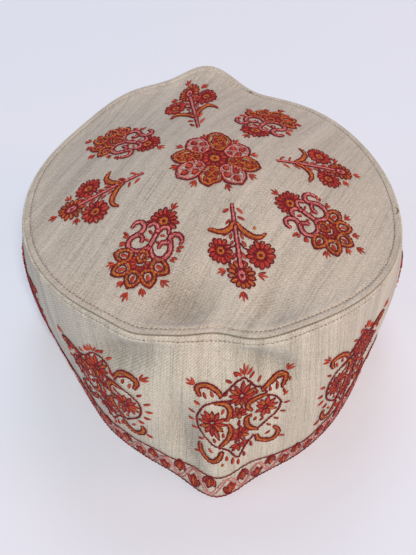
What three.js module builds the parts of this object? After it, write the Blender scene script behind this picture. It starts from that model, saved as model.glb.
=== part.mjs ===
import * as THREE from 'three';

// A round cloth cap: a disc of cloth for the crown, sewn along its edge to an upright side band.
// Millimetres, +Z up, the front towards -Y, the rim flat on Z = 0.
// An azimuth is in degrees from the front, growing towards +X.

// Cloth and sewing
const WALL = 2.0;
const SEAM_GAP = 0.3;
const PANEL_RADIUS = 89.0;
const BAND_HEIGHT = 90.0;

// The axis that every azimuth turns about, so that the cap's box is centred on the origin
const AXIS = { x: -0.65, y: 1.92 };

// The top seam is an oval whose height changes between the sides, the front and the back
const SEAM = { halfWidth: 84.2, halfLength: 82.0, shift: -3.4, side: 87.5, front: 90.4, back: 87.1 };

// The rim is an oval on the floor, and between seam and rim the band swells by BELLY
const RIM = { halfWidth: 87.4, halfLength: 95.8, shift: -1.7 };
const BELLY = { side: 9.4, front: 5.4, back: 8.2 };

// The crown panel rises from its sewn edge to a low dome, and its folds fade towards the middle
const CROWN = { edgeHeight: 89.6, edgePower: 4.2, domeRise: 18.6, domePower: 1.6, foldFade: 2 };

// Folds that run from the seam to the rim: where they are, how wide, and how far they move
// the seam outwards and upwards, the middle of the band outwards and the rim outwards
const FOLDS = [
  { name: 'front_crease', at: 2.3, spread: 5.9, seamOut: -5.8, seamUp: -2.7, bellyOut: 0.0, rimOut: 10.2 },
  { name: 'front_right_dent', at: 12.4, spread: 8.5, seamOut: 0.0, seamUp: -3.1, bellyOut: -2.5, rimOut: 1.5 },
  { name: 'front_left_dent', at: -21.0, spread: 4.8, seamOut: 1.8, seamUp: -0.8, bellyOut: 0.8, rimOut: -0.9 },
  { name: 'right_front_flat', at: 57.7, spread: 16.5, seamOut: 3.4, seamUp: 0.6, bellyOut: -7.9, rimOut: -3.3 },
  { name: 'left_front_flat', at: -52.8, spread: 23.1, seamOut: 2.7, seamUp: 0.6, bellyOut: -6.3, rimOut: -10.8 },
  { name: 'back_crease', at: 181.6, spread: 7.8, seamOut: 14.0, seamUp: 5.5, bellyOut: 0.0, rimOut: 2.0 },
  { name: 'back_right_flat', at: 146.7, spread: 19.9, seamOut: 3.9, seamUp: 1.6, bellyOut: 0.0, rimOut: -3.9 },
  { name: 'back_left_flat', at: -156.4, spread: 15.2, seamOut: 10.0, seamUp: 3.0, bellyOut: 0.0, rimOut: -2.8 },
];

// Hollows pressed into the panels. A share runs from the seam down to the band's rim, or from the
// crown's middle out to its edge. A hollow starts at an azimuth, leans away from it by so many
// degrees a share, and is over at its end. A skew under 1 makes the near wall the steep one.
const BAND_HOLLOWS = [
  { name: 'left_hollow', at: -16.5, lean: -40, spread: 5.5, start: 0.02, end: 0.46, skew: 0.75, depth: 6.5 },
  { name: 'right_hollow', at: 10.0, lean: 42, spread: 4.6, start: 0.02, end: 0.40, skew: 0.75, depth: 5.0 },
  { name: 'low_left_valley', at: -9.5, lean: 9, spread: 3.4, start: 0.20, end: 1.08, skew: 1.0, depth: 5.0 },
];
const CROWN_HOLLOWS = [
  { name: 'front_left_dip', at: -8.0, lean: 0, spread: 6.5, start: 0.54, end: 0.985, skew: 1.5, depth: 5.5 },
  { name: 'front_right_dip', at: 21.0, lean: 0, spread: 5.0, start: 0.62, end: 0.985, skew: 1.5, depth: 2.8 },
];

// The seam allowance pressed to each side: distance from the seam and how far the cloth stands proud
const ALLOWANCE = [
  { away: 0.0, proud: 0.0 },
  { away: 1.2, proud: 0.5 },
  { away: 4.8, proud: 0.5 },
  { away: 8.0, proud: 0.0 },
];

// How finely the cloth is divided
const AROUND = 96;
const CREASE_CROWDING = 0.3;
const CROWN_RINGS = 12;
const BAND_ROWS = 14;
const LINING_ROWS = 10;
const NUDGE = 1e-3;

const radians = THREE.MathUtils.degToRad;

// The shortest way round from one azimuth to another, in degrees
function turn(from, to) {
  return THREE.MathUtils.euclideanModulo(to - from + 180, 360) - 180;
}

// A bell curve: 1 at its middle and fading over spread
function bell(distance, spread) {
  return Math.exp(-0.5 * (distance / spread) ** 2);
}

// What all folds add up to at an azimuth, for one column of the table
function folded(azimuth, column) {
  return FOLDS.reduce((sum, fold) => sum + fold[column] * bell(turn(fold.at, azimuth), fold.spread), 0);
}

// The radius of an oval at an azimuth
function oval(azimuth, halfWidth, halfLength) {
  const angle = radians(azimuth);
  return 1 / Math.hypot(Math.sin(angle) / halfWidth, Math.cos(angle) / halfLength);
}

// A value that is side at the flanks and goes over to front or back along the axis
function between(azimuth, { side, front, back }) {
  const along = Math.cos(radians(azimuth));
  const end = along > 0 ? front : back;
  return side + (end - side) * along ** 2;
}

function outwards(azimuth) {
  return new THREE.Vector3(Math.sin(radians(azimuth)), -Math.cos(radians(azimuth)), 0);
}

// A point at a radius and height on the given azimuth, about an axis that is shifted along Y
function around(azimuth, radius, shift, height) {
  return outwards(azimuth).multiplyScalar(radius).add(new THREE.Vector3(AXIS.x, AXIS.y + shift, height));
}

function seamPoint(azimuth) {
  const radius = oval(azimuth, SEAM.halfWidth, SEAM.halfLength) + folded(azimuth, 'seamOut');
  return around(azimuth, radius, SEAM.shift, between(azimuth, SEAM) + folded(azimuth, 'seamUp'));
}

function rimPoint(azimuth) {
  const radius = oval(azimuth, RIM.halfWidth, RIM.halfLength) + folded(azimuth, 'rimOut');
  return around(azimuth, radius, RIM.shift, 0);
}

// How deep all hollows of a panel are at an azimuth and a share
function hollowDepth(hollows, azimuth, share) {
  return hollows.reduce((sum, { at, lean, spread, start, end, skew, depth }) => {
    const way = THREE.MathUtils.clamp((share - start) / (end - start), 0, 1);
    const window = Math.sin(Math.PI * way ** skew) ** 2;
    const middle = at + lean * (share - start);
    return sum + depth * window * bell(turn(middle, azimuth), spread);
  }, 0);
}

// The band's outer face: straight from seam to rim, swollen in the middle, with its hollows
function bandPoint(azimuth, down) {
  const swell = (between(azimuth, BELLY) + folded(azimuth, 'bellyOut')) * 4 * down * (1 - down);
  return seamPoint(azimuth)
    .lerp(rimPoint(azimuth), down)
    .addScaledVector(outwards(azimuth), swell - hollowDepth(BAND_HOLLOWS, azimuth, down));
}

// The crown's outer face: the seam's outline drawn in towards the middle, with the dome on it
// and the hollows pressed down into it
function crownPoint(azimuth, share) {
  const edgeHeight = between(azimuth, SEAM) + folded(azimuth, 'seamUp');
  const fold = folded(azimuth, 'seamOut') * share ** CROWN.foldFade;
  const radius = (oval(azimuth, SEAM.halfWidth, SEAM.halfLength) + fold) * share;
  const dome = CROWN.domeRise * Math.max(0, 1 - share ** 2) ** CROWN.domePower;
  const edge = (edgeHeight - CROWN.edgeHeight) * share ** CROWN.edgePower;
  const height = CROWN.edgeHeight + edge + dome - hollowDepth(CROWN_HOLLOWS, azimuth, share);
  return around(azimuth, radius, SEAM.shift * share, height);
}

// The outward normal of a surface(azimuth, along), from small steps both ways
function normal(surface, azimuth, along) {
  const low = Math.max(along - NUDGE, 0);
  const high = Math.min(along + NUDGE, 1);
  const down = surface(azimuth, high).sub(surface(azimuth, low));
  const across = surface(azimuth + 1, along).sub(surface(azimuth - 1, along));
  return down.cross(across).normalize();
}

// The azimuths of all meridians, closer together at the front and back creases
const MERIDIANS = Array.from({ length: AROUND }, (_, index) => {
  const even = 2 * Math.PI * index / AROUND;
  return THREE.MathUtils.radToDeg(even - CREASE_CROWDING * Math.sin(2 * even));
});

function evenly(count, from, to) {
  return Array.from({ length: count }, (_, index) => from + (to - from) * index / (count - 1));
}

// A ring of points on a surface, lifted off it along the normal
function ring(surface, along, lift) {
  return MERIDIANS.map((azimuth) => {
    const point = surface(azimuth, along);
    return lift ? point.addScaledVector(normal(surface, azimuth, along), lift) : point;
  });
}

// The two rings of a panel's cut edge at the seam. They lie in the mitre between crown and band,
// a wall's thickness apart, and each panel steps back from the mitre by half the gap.
function seamEdge(side) {
  const outer = [];
  const inner = [];
  for (const azimuth of MERIDIANS) {
    const crownNormal = normal(crownPoint, azimuth, 1);
    const bandNormal = normal(bandPoint, azimuth, 0);
    const step = crownNormal.clone().sub(bandNormal).setLength(side * SEAM_GAP / 2);
    const inwards = crownNormal.clone().add(bandNormal)
      .multiplyScalar(-WALL / (1 + crownNormal.dot(bandNormal)));
    const point = seamPoint(azimuth).add(step);
    outer.push(point);
    inner.push(point.clone().add(inwards));
  }
  return { outer, inner };
}

// The rim's inner ring: on the floor, a wall's thickness inside the outer one
function innerRim() {
  return MERIDIANS.map((azimuth) => {
    const inwards = normal(bandPoint, azimuth, 1).setZ(0).setLength(-WALL);
    return bandPoint(azimuth, 1).add(inwards);
  });
}

// A closed solid lofted through rings of points, from one ring to the next. A ring of one point
// is a pole. Without poles the last ring is joined to the first.
function loft(rings) {
  const points = rings.flat();
  const starts = rings.map((_, index) => rings.slice(0, index).flat().length);
  const faces = [];
  const loops = rings[0].length > 1;
  const steps = loops ? rings.length : rings.length - 1;
  for (let step = 0; step < steps; step += 1) {
    const next = (step + 1) % rings.length;
    const above = (index) => starts[step] + index % rings[step].length;
    const below = (index) => starts[next] + index % rings[next].length;
    for (let index = 0; index < AROUND; index += 1) {
      if (rings[next].length > 1) {
        faces.push(above(index), below(index), below(index + 1));
      }
      if (rings[step].length > 1) {
        faces.push(above(index), below(index + 1), above(index + 1));
      }
    }
  }
  const geometry = new THREE.BufferGeometry().setFromPoints(points);
  geometry.setIndex(faces);
  geometry.computeVertexNormals();
  return geometry;
}

// The crown panel: from its top pole out over the field and the allowance to the seam,
// round the cut edge and back under the dome
function crownTop() {
  const edge = seamEdge(1);
  const strip = ALLOWANCE.slice(1).reverse();
  const fieldEnd = 1 - strip[0].away / PANEL_RADIUS;
  const field = evenly(CROWN_RINGS, 0, fieldEnd).slice(1, -1).map((share) => ring(crownPoint, share, 0));
  const allowance = strip.map(({ away, proud }) => ring(crownPoint, 1 - away / PANEL_RADIUS, proud));
  const under = evenly(LINING_ROWS, 1, 0).slice(1, -1).map((share) => ring(crownPoint, share, -WALL));
  const pole = crownPoint(0, 0);
  const innerPole = pole.clone().setZ(pole.z - WALL);
  return loft([[pole], ...field, ...allowance, edge.outer, edge.inner, ...under, [innerPole]]);
}

// The side band: from the seam down its outer face to the rim, across the rim and up inside
function sideBand() {
  const edge = seamEdge(-1);
  const strip = ALLOWANCE.slice(1);
  const fieldStart = strip[strip.length - 1].away / BAND_HEIGHT;
  const allowance = strip.map(({ away, proud }) => ring(bandPoint, away / BAND_HEIGHT, proud));
  const field = evenly(BAND_ROWS, fieldStart, 1).slice(1).map((down) => ring(bandPoint, down, 0));
  const inside = evenly(LINING_ROWS, 1, 0).slice(1, -1).map((down) => ring(bandPoint, down, -WALL));
  return loft([edge.outer, ...allowance, ...field, innerRim(), ...inside, edge.inner]);
}

function woolCloth(color) {
  return new THREE.MeshStandardMaterial({ color, roughness: 0.95, metalness: 0 });
}

const PIECES = [
  { name: 'crown_top', geometry: crownTop(), color: '#c6b9a5' },
  { name: 'side_band', geometry: sideBand(), color: '#d2c5b0' },
];

const cap = new THREE.Group();
for (const { name, geometry, color } of PIECES) {
  const mesh = new THREE.Mesh(geometry, woolCloth(color));
  mesh.name = name;
  cap.add(mesh);
}

export default cap;
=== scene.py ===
# %% [markdown]
# A round woollen cap with needlework, standing on its rim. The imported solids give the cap's
# size and place. Everything here is drawn in the same frame: metres, +Z up, the front
# towards -Y, the rim on Z = 0. Sizes are written in millimetres and turned to metres once.

# %% Load the frame
import math

import bpy
import numpy as np
from mathutils import Matrix


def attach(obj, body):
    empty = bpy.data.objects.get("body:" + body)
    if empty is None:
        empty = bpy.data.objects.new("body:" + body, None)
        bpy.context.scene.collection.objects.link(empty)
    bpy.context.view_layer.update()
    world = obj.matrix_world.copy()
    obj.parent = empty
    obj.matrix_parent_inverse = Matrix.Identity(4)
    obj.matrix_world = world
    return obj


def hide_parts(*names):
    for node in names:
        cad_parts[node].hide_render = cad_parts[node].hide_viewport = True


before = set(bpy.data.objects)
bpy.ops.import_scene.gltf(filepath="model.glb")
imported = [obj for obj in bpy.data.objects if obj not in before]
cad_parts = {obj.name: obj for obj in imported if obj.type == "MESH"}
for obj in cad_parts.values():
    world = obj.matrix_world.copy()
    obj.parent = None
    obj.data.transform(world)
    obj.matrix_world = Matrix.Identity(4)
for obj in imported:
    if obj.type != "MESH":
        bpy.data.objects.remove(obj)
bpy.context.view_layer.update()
MM = 0.001

# %% [markdown]
# The cap was cut flat: a disc for the crown and a straight strip for the band. Worn and
# folded, it took a low dome, a sharp crease at the front and the back, and a few flats.
# These are the same sizes as the solids have, so that the cloth lies where they lie.

# %% The cap's sizes in millimetres and degrees
PANEL_RADIUS = 89.0
BAND_HEIGHT = 90.0
WALL = 1.8
AXIS = (-0.65, 1.92)
SEAM = {"half_width": 84.2, "half_length": 82.0, "shift": -3.4, "side": 87.5, "front": 90.4, "back": 87.1}
RIM = {"half_width": 87.4, "half_length": 95.8, "shift": -1.7}
BELLY = {"side": 9.4, "front": 5.4, "back": 8.2}
CROWN = {"edge_height": 89.6, "edge_power": 4.2, "dome_rise": 18.6, "dome_power": 1.6, "fold_fade": 2}
FOLD_COLUMNS = ("at", "spread", "seam_out", "seam_up", "belly_out", "rim_out")
FOLDS = {
    "front_crease": (2.3, 5.9, -5.8, -2.7, 0.0, 10.2),
    "front_right_dent": (12.4, 8.5, 0.0, -3.1, -2.5, 1.5),
    "front_left_dent": (-21.0, 4.8, 1.8, -0.8, 0.8, -0.9),
    "right_front_flat": (57.7, 16.5, 3.4, 0.6, -7.9, -3.3),
    "left_front_flat": (-52.8, 23.1, 2.7, 0.6, -6.3, -10.8),
    "back_crease": (181.6, 7.8, 14.0, 5.5, 0.0, 2.0),
    "back_right_flat": (146.7, 19.9, 3.9, 1.6, 0.0, -3.9),
    "back_left_flat": (-156.4, 15.2, 10.0, 3.0, 0.0, -2.8),
}
# A hollow's depth also sets how much darker the cloth is painted there, as painted shade.
# A hollow's columns: at, lean, spread, start, end, skew, depth. It starts at an azimuth and
# leans away from it by so many degrees a share.
BAND_HOLLOWS = {
    "left_hollow": (-16.5, -40.0, 5.5, 0.02, 0.46, 0.75, 6.5),
    "right_hollow": (10.0, 42.0, 4.6, 0.02, 0.40, 0.75, 5.0),
    "low_left_valley": (-9.5, 9.0, 3.4, 0.20, 1.08, 1.0, 5.0),
}
CROWN_HOLLOWS = {
    "front_left_dip": (-8.0, 0.0, 6.5, 0.54, 0.985, 1.5, 5.5),
    "front_right_dip": (21.0, 0.0, 5.0, 0.62, 0.985, 1.5, 2.8),
}
print("folds", list(FOLDS), "hollows", list(BAND_HOLLOWS) + list(CROWN_HOLLOWS))

# %% [markdown]
# Both panels are functions of two parameters. An azimuth in degrees runs round the cap from
# the front. The second parameter is a share: from the middle of the crown to its edge, or
# from the seam down the band to the rim. numpy works a whole grid out at once.

# %% The shape of the two panels
def turn(azimuth, at):
    """The shorter way round from at to azimuth: their difference brought into -180 to 180."""
    return (azimuth - at + 180.0) % 360.0 - 180.0


def bell(distance, spread):
    """A bell curve, exp(-(distance / spread)^2 / 2)."""
    return np.exp(-0.5 * (distance / spread) ** 2)


def folded(azimuth, column):
    """What the folds add up to: the sum over the table of column times its bell curve."""
    place = FOLD_COLUMNS.index(column)
    return sum(fold[place] * bell(turn(azimuth, fold[0]), fold[1]) for fold in FOLDS.values())


def oval(azimuth, half_width, half_length):
    """An ellipse's radius, 1 / sqrt((sin a / width)^2 + (cos a / length)^2)."""
    angle = np.radians(azimuth)
    return 1.0 / np.hypot(np.sin(angle) / half_width, np.cos(angle) / half_length)


def between(azimuth, sizes):
    """side at the flanks, going over to front or back with cos(azimuth)^2."""
    along = np.cos(np.radians(azimuth))
    end = np.where(along > 0, sizes["front"], sizes["back"])
    return sizes["side"] + (end - sizes["side"]) * along**2


def outwards(azimuth):
    """The level unit vector of an azimuth, (sin a, -cos a, 0)."""
    angle = np.radians(azimuth)
    return np.stack([np.sin(angle), -np.cos(angle), 0.0 * angle], axis=-1)


def around(azimuth, radius, shift, height):
    """The point at a radius and height, about the cap's axis moved by shift along Y."""
    level = outwards(azimuth) * radius[..., None]
    middle = np.stack([AXIS[0] + 0.0 * height, AXIS[1] + shift, height], axis=-1)
    return level + middle


def hollow_depth(hollows, azimuth, share):
    """The hollows of a panel: depth * sin(pi * way^skew)^2 along the way from start to end, times a
    bell curve. A skew under 1 makes the near wall of a hollow the steep one."""
    total = 0.0
    for at, lean, spread, start, end, skew, depth in hollows.values():
        way = np.clip((share - start) / (end - start), 0.0, 1.0)
        window = np.sin(np.pi * way**skew) ** 2
        middle = at + lean * (share - start)
        total = total + depth * window * bell(turn(azimuth, middle), spread)
    return total


def seam_height(azimuth):
    """The height of the seam, with what the folds add to it."""
    return between(azimuth, SEAM) + folded(azimuth, "seam_up")


def crown_face(azimuth, share):
    """The seam's oval drawn in by share, the folds fading inwards, with the dome
    rise * (1 - share^2)^power on top of it, less the hollows."""
    fold = folded(azimuth, "seam_out") * share ** CROWN["fold_fade"]
    radius = (oval(azimuth, SEAM["half_width"], SEAM["half_length"]) + fold) * share
    edge = seam_height(azimuth) - CROWN["edge_height"]
    dome = CROWN["dome_rise"] * np.clip(1.0 - share**2, 0.0, 1.0) ** CROWN["dome_power"]
    height = CROWN["edge_height"] + edge * share ** CROWN["edge_power"] + dome
    height = height - hollow_depth(CROWN_HOLLOWS, azimuth, share)
    return around(azimuth, radius, SEAM["shift"] * share, height)


def band_face(azimuth, down):
    """Straight from seam to rim, swollen by belly * 4 d (1 - d), less the hollows."""
    seam_radius = oval(azimuth, SEAM["half_width"], SEAM["half_length"]) + folded(azimuth, "seam_out")
    seam = around(azimuth, seam_radius, SEAM["shift"] + 0.0 * down, seam_height(azimuth))
    rim_radius = oval(azimuth, RIM["half_width"], RIM["half_length"]) + folded(azimuth, "rim_out")
    rim = around(azimuth, rim_radius, RIM["shift"] + 0.0 * down, 0.0 * azimuth)
    belly = between(azimuth, BELLY) + folded(azimuth, "belly_out")
    swell = belly * 4.0 * down * (1.0 - down) - hollow_depth(BAND_HOLLOWS, azimuth, down)
    return seam * (1.0 - down)[..., None] + rim * down[..., None] + outwards(azimuth) * swell[..., None]


print("crown centre", crown_face(np.zeros(1), np.zeros(1)), "rim front", band_face(np.zeros(1), np.ones(1)))

# %% [markdown]
# Needlework is worked on the flat cloth, so it is charted flat too: on the crown's disc in
# millimetres from its middle, and on the band's strip in millimetres along and above the rim.
# On the dome a millimetre of the disc is a share of the arc from the middle to the edge.
# A table of that share, looked up between its rows, carries any flat point onto the dome.

# %% From the flat cut pieces to the cap
AZIMUTH_ROWS = np.arange(-180.0, 181.0, 1.0)
ARC_STEPS = np.linspace(0.0, 1.0, 121)
DISC_STEP = 0.5
DISC_ROWS = np.arange(0.0, PANEL_RADIUS + DISC_STEP, DISC_STEP)


def share_table():
    """For each azimuth, the share at which the arc from the middle has each length of DISC_ROWS."""
    azimuths, shares = np.meshgrid(AZIMUTH_ROWS, ARC_STEPS, indexing="ij")
    steps = np.linalg.norm(np.diff(crown_face(azimuths, shares), axis=1), axis=-1)
    arcs = np.concatenate([np.zeros((len(AZIMUTH_ROWS), 1)), np.cumsum(steps, axis=1)], axis=1)
    arcs = arcs / arcs[:, -1:] * PANEL_RADIUS
    return np.array([np.interp(DISC_ROWS, arc, ARC_STEPS) for arc in arcs])


SHARES = share_table()


def share_at(azimuth, distance):
    """Looks the table up at any azimuth and distance, straight between its four nearest values."""
    row = np.clip(turn(azimuth, 0.0) + 180.0, 0.0, len(AZIMUTH_ROWS) - 1.001)
    column = np.clip(distance / DISC_STEP, 0.0, len(DISC_ROWS) - 1.001)
    r0, c0 = row.astype(int), column.astype(int)
    fr, fc = row - r0, column - c0
    low = SHARES[r0, c0] * (1 - fc) + SHARES[r0, c0 + 1] * fc
    high = SHARES[r0 + 1, c0] * (1 - fc) + SHARES[r0 + 1, c0 + 1] * fc
    return low * (1 - fr) + high * fr


def on_crown(flat):
    """A point (x, y) of the flat disc, y towards the back, carried onto the dome."""
    azimuth = np.degrees(np.arctan2(flat[..., 0], -flat[..., 1]))
    distance = np.clip(np.hypot(flat[..., 0], flat[..., 1]), 0.0, PANEL_RADIUS)
    return crown_face(azimuth, share_at(azimuth, distance))


def on_band(flat):
    """A point (along, above) of the flat strip: azimuth = along / radius, share = 1 - above / height."""
    return band_face(np.degrees(flat[..., 0] / PANEL_RADIUS), 1.0 - flat[..., 1] / BAND_HEIGHT)


FINE = 0.05


def facing(carry, flat):
    """The outward unit normal: the cross product of small steps along both flat directions."""
    across = carry(flat + [FINE, 0.0]) - carry(flat - [FINE, 0.0])
    along = carry(flat + [0.0, FINE]) - carry(flat - [0.0, FINE])
    normal = np.cross(across, along)
    return normal / np.linalg.norm(normal, axis=-1, keepdims=True)


print("share table", SHARES.shape)

# %% [markdown]
# The camera stands where the photograph was taken from, in front of and above the cap, and
# looks down at its near edge. It has a slight roll. The lens is worked out from the focal
# length in pixels and the taller side of the image. The plain Standard view shows every
# colour as it is picked below, so that dyed thread stays as bright as it really is.

# %% Camera
IMAGE_HEIGHT = 555
FOCAL_PIXELS = 724.58
SENSOR = 36.0
CAMERA = {"look": (-1.92, -5.95, 37.98), "distance": 367.34, "pitch": 48.42, "roll": 1.35}


def looking(place, back, roll=0.0):
    """The matrix of a camera or lamp that looks against the unit vector back: its level side is
    z x back, its upright one back x level, and both are rolled about back."""
    level = np.cross([0.0, 0.0, 1.0], back)
    level /= np.linalg.norm(level)
    upright = np.cross(back, level)
    right = math.cos(roll) * level + math.sin(roll) * upright
    up = math.cos(roll) * upright - math.sin(roll) * level
    return Matrix([[right[i], up[i], back[i], place[i]] for i in range(3)] + [[0, 0, 0, 1]])


pitch = math.radians(CAMERA["pitch"])
backwards = np.array([0.0, -math.cos(pitch), math.sin(pitch)])
camera_place = (np.array(CAMERA["look"]) + CAMERA["distance"] * backwards) * MM
camera = bpy.data.objects.new("camera", bpy.data.cameras.new("camera"))
camera.data.sensor_width = SENSOR
camera.data.lens = FOCAL_PIXELS * SENSOR / IMAGE_HEIGHT
camera.data.clip_start = 0.01
camera.matrix_world = looking(camera_place, backwards, math.radians(CAMERA["roll"]))
bpy.context.collection.objects.link(camera)
bpy.context.scene.camera = camera
bpy.context.scene.view_settings.view_transform = "Standard"
print("lens", camera.data.lens, "camera at", tuple(camera.location))

# %% [markdown]
# Materials are built from nodes. A colour is picked as an sRGB hex value, as one would pick it
# from cloth, and turned to the linear value that the renderer works in.

# %% Helpers for materials
def linear(hex_colour):
    """sRGB hex to linear: ((c + 0.055) / 1.055)^2.4, or c / 12.92 where c is small."""
    values = [int(hex_colour[i : i + 2], 16) / 255 for i in (1, 3, 5)]
    return [c / 12.92 if c <= 0.04045 else ((c + 0.055) / 1.055) ** 2.4 for c in values] + [1.0]


def fill(tree, node, inputs):
    """Sets each input, by name or number, to its value, or links it to its socket."""
    for name, value in inputs.items():
        if isinstance(value, bpy.types.NodeSocket):
            tree.links.new(value, node.inputs[name])
        else:
            node.inputs[name].default_value = value


def add_node(tree, kind, settings=None, inputs=None):
    """Adds a node, sets its properties and fills its inputs."""
    node = tree.nodes.new(kind)
    for name, value in (settings or {}).items():
        setattr(node, name, value)
    fill(tree, node, inputs or {})
    return node


def new_material(name, sockets):
    """A material with only the principled shader, and its plain sockets filled."""
    material = bpy.data.materials.new(name)
    material.use_nodes = True
    shader = material.node_tree.nodes["Principled BSDF"]
    fill(material.node_tree, shader, sockets)
    return material, material.node_tree, shader


BUMP_STRENGTH = 0.4
print("middle grey in linear light", linear("#808080"))

# %% [markdown]
# The cloth is undyed woollen twill, woven from uneven yarn. A thick or dark length of yarn
# shows as a thin streak along the warp, whole groups of yarns differ a little in tone, and the
# crossing yarns give a fine grain. The twill is a faint diagonal rib. All of it follows the cut
# cloth, so it is read from the piece's UV map, which holds the flat pattern in metres.
# A yarn is about 0.45 mm wide. The grain is drawn at 0.7 mm and the twill rib at 1.1 mm, about
# twice their real size, so that they still show. The cloth is painted darker where it is pressed
# in, as painted shade in the dents, read from the panel's hollow attribute.

# %% Undyed woollen twill
YARN = 0.45
YARN_RUN = 5.0
GRAIN = 0.7
TWILL = 1.1
STREAK_WIDTH, STREAK_LENGTH = 0.9, 42.0
BAND_WIDTH, BAND_LENGTH = 7.0, 140.0
WARP_SHARE, WEFT_SHARE, GRAIN_SHARE = 0.34, 0.30, 0.34
# Painted shade: how much darker the cloth is painted where the panel is pressed in
PAINTED_HOLLOW_SHADE = 0.22
EVEN_TONE = 0.451
STREAK_RANGE = {"From Min": 0.28, "From Max": 0.50}
TONE_RANGE = {"From Min": 0.65, "From Max": 1.12}
CLOTH_DEPTH = 0.25
# A diagonal wave at scale 1 repeats after 2 pi / (10 sqrt 2)
WAVE_PERIOD = 0.444


def twill_material(name, pale, dark, warp_degrees, band_share, streak_share, rib_share):
    """Tone bands, streaks along the warp, a grain of crossing yarns, a twill rib and painted shade
    in the hollows. Their weighed sum picks the colour between dark and pale, and yarns and rib are the bump
    too."""
    material, tree, shader = new_material(name, {
        "Roughness": 0.92, "Specular IOR Level": 0.18, "Sheen Weight": 0.12, "Sheen Roughness": 0.6})
    flat = add_node(tree, "ShaderNodeUVMap", {"uv_map": "cut"}).outputs["UV"]
    warp = add_node(tree, "ShaderNodeMapping", None, {
        "Vector": flat, "Rotation": (0, 0, -math.radians(warp_degrees))}).outputs["Vector"]

    def yarns(along, across, detail):
        """Noise drawn out to a length along and a width across the warp, in millimetres."""
        drawn = add_node(tree, "ShaderNodeMapping", None, {
            "Vector": warp, "Scale": (1 / (along * MM), 1 / (across * MM), 1)}).outputs["Vector"]
        return add_node(tree, "ShaderNodeTexNoise", None, {
            "Vector": drawn, "Scale": 1.0, "Detail": detail, "Roughness": 0.55}).outputs["Fac"]

    streak = add_node(tree, "ShaderNodeMapRange", None, {
        "Value": yarns(STREAK_LENGTH, STREAK_WIDTH, 1.0), **STREAK_RANGE}).outputs["Result"]
    warp_yarn = yarns(YARN_RUN, YARN, 1.0)
    weft_yarn = yarns(YARN, YARN_RUN, 1.0)
    rib = add_node(tree, "ShaderNodeTexWave", {"wave_type": "BANDS", "bands_direction": "DIAGONAL"}, {
        "Vector": warp, "Scale": WAVE_PERIOD / (TWILL * MM), "Distortion": 0.6,
        "Detail": 1.0, "Detail Scale": 2.0}).outputs["Fac"]
    # Painted shade in the dents, read from the panel's hollow attribute
    hollow = add_node(tree, "ShaderNodeAttribute", {"attribute_name": "hollow"}).outputs["Fac"]
    # The mean of a pattern is taken off, so that its share changes the contrast and not the tone
    tone = EVEN_TONE - 0.5 * band_share - 0.85 * streak_share - 0.5 * rib_share
    tone_parts = (
        (hollow, -PAINTED_HOLLOW_SHADE), (rib, rib_share), (yarns(GRAIN, GRAIN, 0.0), GRAIN_SHARE),
        (weft_yarn, WEFT_SHARE), (warp_yarn, WARP_SHARE), (streak, streak_share),
        (yarns(BAND_LENGTH, BAND_WIDTH, 1.0), band_share))
    sums = []
    for total, parts in ((tone, tone_parts), (weft_yarn, ((warp_yarn, 1.0), (rib, 0.35)))):
        for pattern, weight in parts:
            total = add_node(tree, "ShaderNodeMath", {"operation": "MULTIPLY_ADD"}, {
                0: pattern, 1: weight, 2: total}).outputs[0]
        sums.append(total)
    share = add_node(tree, "ShaderNodeMapRange", None, {"Value": sums[0], **TONE_RANGE}).outputs["Result"]
    colour = add_node(tree, "ShaderNodeMix", {"data_type": "RGBA"}, {
        0: share, 6: linear(dark), 7: linear(pale)}).outputs[2]
    bump = add_node(tree, "ShaderNodeBump", None, {
        "Height": sums[1], "Strength": BUMP_STRENGTH, "Distance": CLOTH_DEPTH * MM}).outputs["Normal"]
    fill(tree, shader, {"Base Color": colour, "Normal": bump})
    return material


# The crown's colours are set a little darker than the band's: painted shade for the top of the cap.
crown_cloth = twill_material("woollen_twill_crown", "#c9bfb0", "#8b8276", 62.0, 0.34, 0.13, 0.08)
band_cloth = twill_material("woollen_twill_band", "#d3cab9", "#938b7d", 90.0, 0.46, 0.17, 0.15)
print("cloth", crown_cloth.name, band_cloth.name)

# %% [markdown]
# A panel of cloth is a thin wall: an outer face, an inner face and the cut edge between them.
# Rings of points are lofted into one closed skin, which shades softly and shows no gap from
# any side. Where the panels meet, the cloth turns down into the seam. The allowance under it
# lifts a strip on each side, and the row of topstitching draws a shallow valley into it.

# %% Building a cloth wall from rings
def add_object(name, points, faces, material, cut=None, **attributes):
    """A mesh object in metres from points in millimetres, with the flat pattern as its UV map
    and any further values of its points as attributes."""
    mesh = bpy.data.meshes.new(name)
    mesh.from_pydata(points * MM, [], faces)
    mesh.polygons.foreach_set("use_smooth", np.ones(len(mesh.polygons), dtype=bool))
    if cut is not None:
        layer = mesh.uv_layers.new(name="cut")
        layer.data.foreach_set("uv", (cut * MM).ravel())
    for attribute, values in attributes.items():
        mesh.attributes.new(attribute, "FLOAT", "POINT").data.foreach_set("value", values)
    mesh.materials.append(material)
    piece = bpy.data.objects.new(name, mesh)
    bpy.context.collection.objects.link(piece)
    return piece


def loft_faces(rings, around_count, closed):
    """Quads between each ring and the next, numbered row by row. A closed loft joins last to first."""
    rows = np.arange(rings if closed else rings - 1)[:, None]
    cols = np.arange(around_count)[None, :]
    a = rows * around_count + cols
    b = ((rows + 1) % rings) * around_count + cols
    c = ((rows + 1) % rings) * around_count + (cols + 1) % around_count
    d = rows * around_count + (cols + 1) % around_count
    return np.stack([a, b, c, d], axis=-1).reshape(-1, 4)


ROLL_RADIUS = 0.8
ROLL_DEPTH = 2.2
ALLOWANCE_WIDTH = 6.4
ALLOWANCE_SLOPE = 3.2
ALLOWANCE_RISE = 0.42
TOPSTITCH_AWAY = 3.1
VALLEY_DEPTH = 0.55
VALLEY_WIDTH = 0.36


def step_up(value):
    """A smooth step from 0 to 1: 3 v^2 - 2 v^3 with v held between 0 and 1."""
    v = np.clip(value, 0.0, 1.0)
    return v * v * (3.0 - 2.0 * v)


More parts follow.
